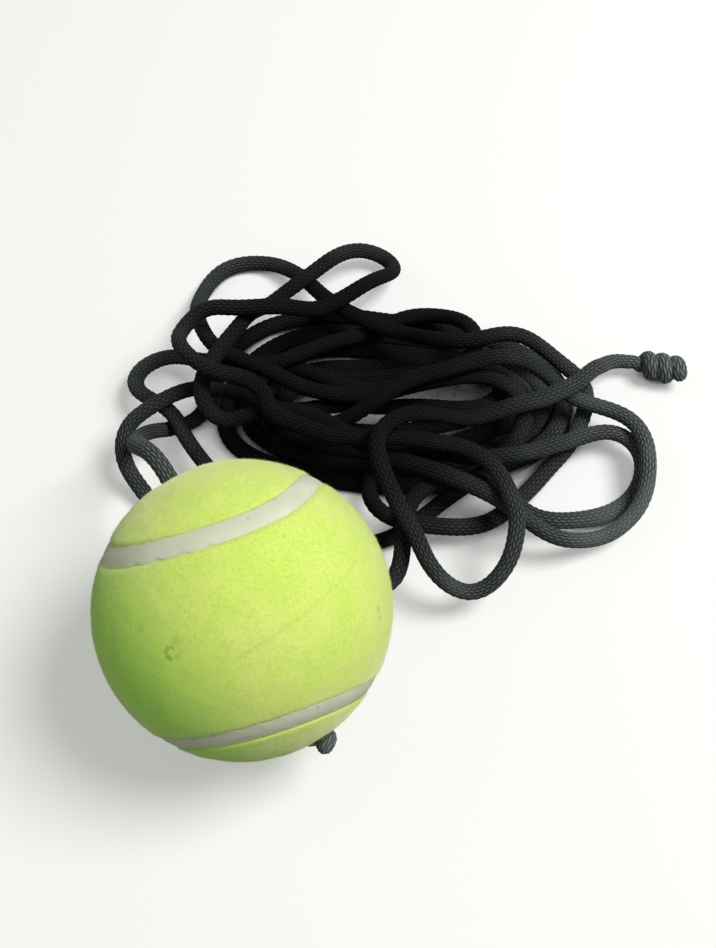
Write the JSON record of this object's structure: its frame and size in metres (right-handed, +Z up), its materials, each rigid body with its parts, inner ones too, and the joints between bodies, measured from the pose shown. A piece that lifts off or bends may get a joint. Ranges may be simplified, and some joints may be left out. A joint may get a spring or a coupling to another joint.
{
  "type": "hanging practice ball",
  "caption": "Felt-covered rubber ball drilled through its middle and threaded on a long braided cord, stopped by a knot, with a larger knot at the cord's free end for hanging it up.",
  "frame": {"origin": "the middle of the small flat where the ball rests on the floor", "axes": "+Z up, +X to the right and +Y away from the viewer of the picture; the heap of cord lies on the +Y side of the ball"},
  "size_m": [0.1529, 0.1537, 0.0656],
  "materials": {
    "core": "matt moulded rubber",
    "felt": "worn napped felt",
    "seam": "satin rubber",
    "cord": "soft braided cord"
  },
  "bodies": {
    "cord": {"cord_lead": "cord", "cord_loops": "cord", "cord_tail": "cord", "end_knot": "cord"},
    "ball": {"core_half_exit": "core", "core_half_knot": "core", "felt_panel_drilled": "felt", "felt_panel_plain": "felt", "seam_strip": "seam"},
    "stopper": {"stopper_knot": "cord", "cord_through": "cord"}
  },
  "joints": [
    {"name": "ball_spin", "type": "hinge", "parent": "cord", "child": "ball", "pos_m": [0, 0, 0.0326], "axis": [-0.5013, 0.772, 0.3907], "continuous": true},
    {"name": "knot_draw", "type": "slide", "parent": "cord", "child": "stopper", "axis": [0.5013, -0.772, -0.3907], "range_m": [0, 0.025]}
  ]
}
